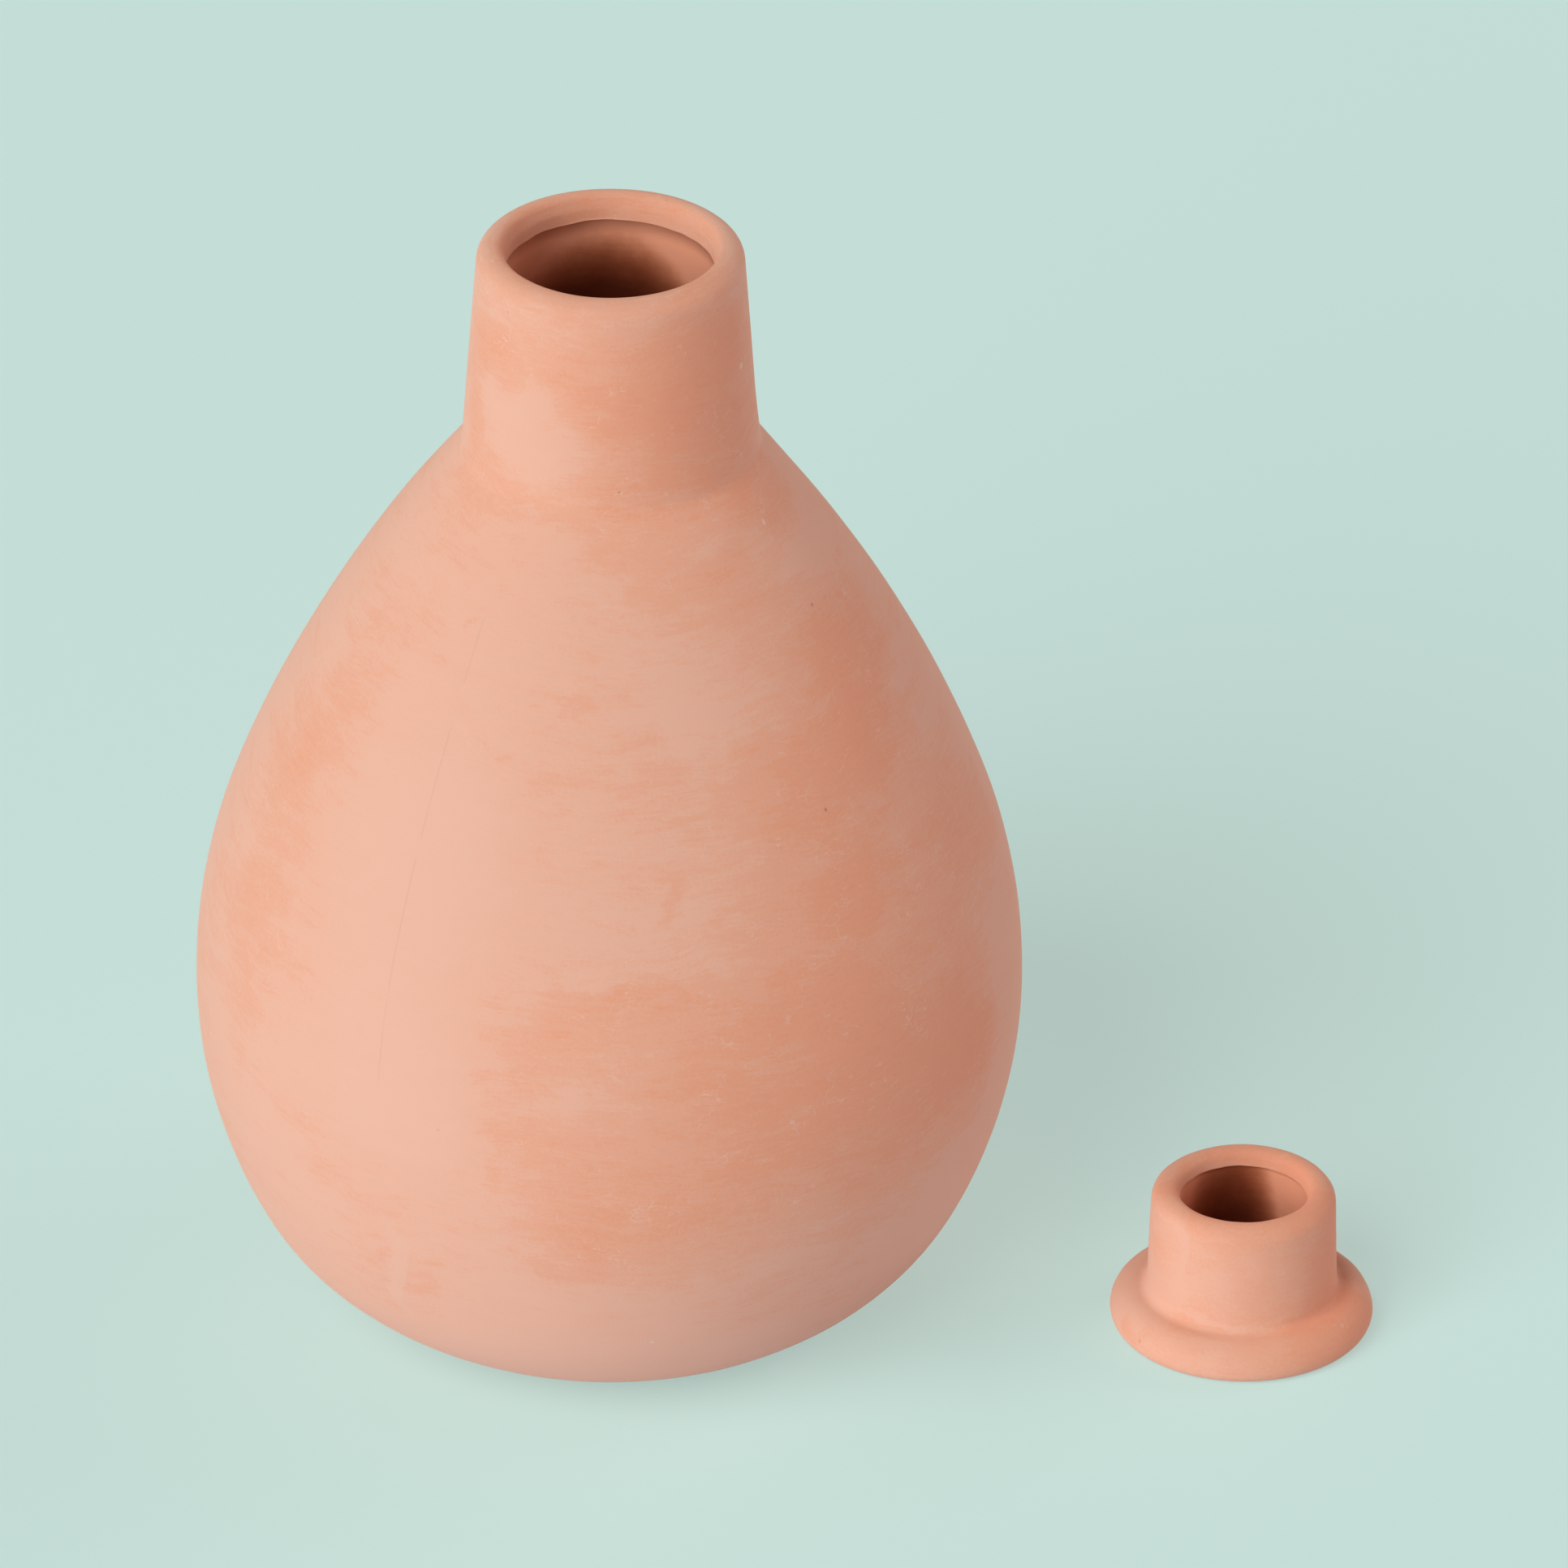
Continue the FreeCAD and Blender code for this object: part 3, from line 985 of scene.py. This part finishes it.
class OLLA_OT_make_stopper(Operator):
    """Make the stopper and its clay"""

    bl_idname = "olla.make_stopper"
    bl_label = "Make Stopper"

    def execute(self, context):
        sizes = context.scene.olla_stopper
        finish = context.scene.olla_clay
        centre = Vector((STOPPER_CENTRE.x, STOPPER_CENTRE.y, 0))
        lip_height = STOPPER_HIGH.z - sizes.plug_lip_depth
        crest_radius = sizes.plug_tip_radius - sizes.plug_crest_width
        shell = stopper_shell(sizes)
        press_by_hand(shell, sizes.hand_depth, reach=0.022, seed=11.0, flat_height=4 * MM)
        smear_slip(shell, sizes)
        trim_by_hand(shell, lip_height, sizes.plug_tip_radius - sizes.plug_wall, depth=0.2 * MM)
        hollow_reach = sizes.plug_base_radius - 0.5 * sizes.plug_wall
        mark_inside(shell, lip_height, hollow_reach, 1.2 * sizes.plug_floor)
        stopper = finished_piece("terracotta_stopper", shell, centre)
        stopper.data.materials.append(clay_material(
            "stopper_clay", centre, finish, clay_groups(), STOPPER_RUBS, STOPPER_BLOOM, STOPPER_PITS_AND_SHADOW,
            STOPPER_SPECKS, seam_bearing=-62.0, raggedness=0.3, crest_radius=crest_radius / MM))
        stopper.data.materials.append(inside_material(
            "stopper_inside", finish, clay_groups(), centre, lip_height / MM,
            downward=0.06, start=1.15, bow=0.014, middle=-2.5))
        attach(stopper, "root")
        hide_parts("stopper")
        return {"FINISHED"}


def camera_share(wiring, seen, other):
    """One shader for what the camera and reflections see and another for the light on the olla."""
    path = wiring.node("ShaderNodeLightPath")
    mirrored = wiring.math("MAXIMUM", path.outputs["Is Glossy Ray"], path.outputs["Is Transmission Ray"])
    choice = wiring.node("ShaderNodeMixShader")
    wiring.feed(choice.inputs[0], wiring.math("MAXIMUM", path.outputs["Is Camera Ray"], mirrored))
    wiring.feed(choice.inputs[1], other)
    wiring.feed(choice.inputs[2], seen)
    return choice.outputs[0]


def floor_material(studio):
    """A plain matt floor that keeps the olla's shadow."""
    material, wiring = new_material("studio_floor")
    seen = wiring.fed("ShaderNodeBsdfDiffuse", {"Color": (*studio.floor_seen, 1.0)})
    glow = wiring.fed("ShaderNodeEmission", {
        "Color": (*studio.backdrop, 1.0), "Strength": studio.floor_glow})
    both = wiring.node("ShaderNodeAddShader")
    wiring.feed(both.inputs[0], seen.outputs[0])
    wiring.feed(both.inputs[1], glow.outputs[0])
    bounce = wiring.fed("ShaderNodeBsdfDiffuse", {"Color": (*studio.floor_bounce, 1.0)})
    wiring.surface(camera_share(wiring, both.outputs[0], bounce.outputs[0]))
    return material


def make_floor(studio):
    """A wide round floor, a hair under the olla's foot."""
    under_foot = 0.1 * MM
    shell = bmesh.new()
    bmesh.ops.create_circle(shell, cap_ends=True, segments=96, radius=30.0)
    bmesh.ops.translate(shell, verts=shell.verts[:], vec=(0, 0, -under_foot))
    bmesh.ops.recalc_face_normals(shell, faces=shell.faces[:])
    mesh = bpy.data.meshes.new("studio_floor")
    shell.to_mesh(mesh)
    shell.free()
    floor = bpy.data.objects.new("studio_floor", mesh)
    bpy.context.scene.collection.objects.link(floor)
    floor.data.materials.append(floor_material(studio))


def make_world(studio):
    """Even light from all around, behind which the camera sees the backdrop's colour."""
    world = bpy.data.worlds.new("studio_world")
    world.use_nodes = True
    world.node_tree.nodes.clear()
    wiring = Wiring(world.node_tree)
    light = wiring.fed("ShaderNodeBackground", {
        "Color": (*studio.fill_colour, 1.0), "Strength": studio.sky})
    backdrop = wiring.fed("ShaderNodeBackground", {"Color": (*studio.backdrop, 1.0)})
    shared = camera_share(wiring, backdrop.outputs[0], light.outputs[0])
    wiring.fed("ShaderNodeOutputWorld", {"Surface": shared})
    bpy.context.scene.world = world


def make_soft_light(name, shade, strength, spread, bearing, height):
    """One broad soft light, in the direction of a bearing from +X and a height over the horizon."""
    lamp = bpy.data.lights.new(name, "SUN")
    lamp.color = shade
    lamp.energy = strength
    lamp.angle = spread
    light = bpy.data.objects.new(name, lamp)
    bpy.context.scene.collection.objects.link(light)
    turn = Matrix.Rotation(math.radians(bearing), 3, "Z")
    lift = Matrix.Rotation(-math.radians(height), 3, "Y")
    towards_light = turn @ lift @ Vector((1.0, 0.0, 0.0))
    light.rotation_euler = towards_light.to_track_quat("Z", "Y").to_euler()


def make_camera(studio):
    """The camera at the photograph's angle."""
    data = bpy.data.cameras.new("camera")
    data.sensor_width = 36.0
    data.lens = studio.lens
    data.clip_end = 100.0
    camera = bpy.data.objects.new("camera", data)
    bpy.context.scene.collection.objects.link(camera)
    back = Vector((0.0, -math.cos(studio.camera_elevation), math.sin(studio.camera_elevation)))
    place = Vector((studio.target_x, 0.0, studio.target_z)) + back * studio.camera_distance
    tilt = Matrix.Rotation(math.pi / 2 - studio.camera_elevation, 4, "X")
    roll = Matrix.Rotation(studio.camera_roll, 4, "Z")
    camera.matrix_world = Matrix.Translation(place) @ tilt @ roll
    bpy.context.scene.camera = camera


class OLLA_OT_make_studio(Operator):
    """Make the floor, the light and the camera"""

    bl_idname = "olla.make_studio"
    bl_label = "Make Studio"

    def execute(self, context):
        studio = context.scene.olla_studio
        make_camera(studio)
        make_floor(studio)
        make_world(studio)
        spread, fill = studio.light_spread, studio.fill_colour
        make_soft_light("high_key_light", WHITE, studio.high_key, spread, bearing=232, height=34)
        make_soft_light("low_key_light", WHITE, studio.low_key, spread, bearing=232, height=9)
        make_soft_light("side_light", fill, studio.side, spread, bearing=20, height=13)
        make_soft_light("back_light", fill, studio.back, spread, bearing=120, height=9)
        context.scene.view_settings.view_transform = "Standard"
        return {"FINISHED"}


class OLLA_PT_panel(Panel):
    """Lists the steps and the sizes"""

    bl_label = "Irrigation Olla"
    bl_idname = "OLLA_PT_panel"
    bl_space_type = "VIEW_3D"
    bl_region_type = "UI"
    bl_category = "Olla"

    def draw(self, context):
        for step in (OLLA_OT_make_studio, OLLA_OT_make_jar, OLLA_OT_make_stopper):
            self.layout.operator(step.bl_idname)
        for title, owner in SETTINGS.items():
            box = self.layout.box()
            box.label(text=title)
            values = getattr(context.scene, owner)
            for name in type(values).__annotations__:
                box.prop(values, name)


SETTINGS = {
    "Jar": "olla_jar",
    "Stopper": "olla_stopper",
    "Clay": "olla_clay",
    "Studio": "olla_studio",
}
GROUPS = {
    "olla_jar": OllaJarSizes,
    "olla_stopper": OllaStopperSizes,
    "olla_clay": OllaClayFinish,
    "olla_studio": OllaStudio,
}
CLASSES = (*GROUPS.values(), OLLA_OT_make_studio, OLLA_OT_make_jar, OLLA_OT_make_stopper, OLLA_PT_panel)


def register():
    for cls in CLASSES:
        bpy.utils.register_class(cls)
    for name, group in GROUPS.items():
        setattr(bpy.types.Scene, name, PointerProperty(type=group))


def unregister():
    for name in GROUPS:
        delattr(bpy.types.Scene, name)
    for cls in reversed(CLASSES):
        bpy.utils.unregister_class(cls)


def main():
    register()
    bpy.ops.olla.make_studio()
    bpy.ops.olla.make_jar()
    bpy.ops.olla.make_stopper()


if __name__ == "__main__":
    main()
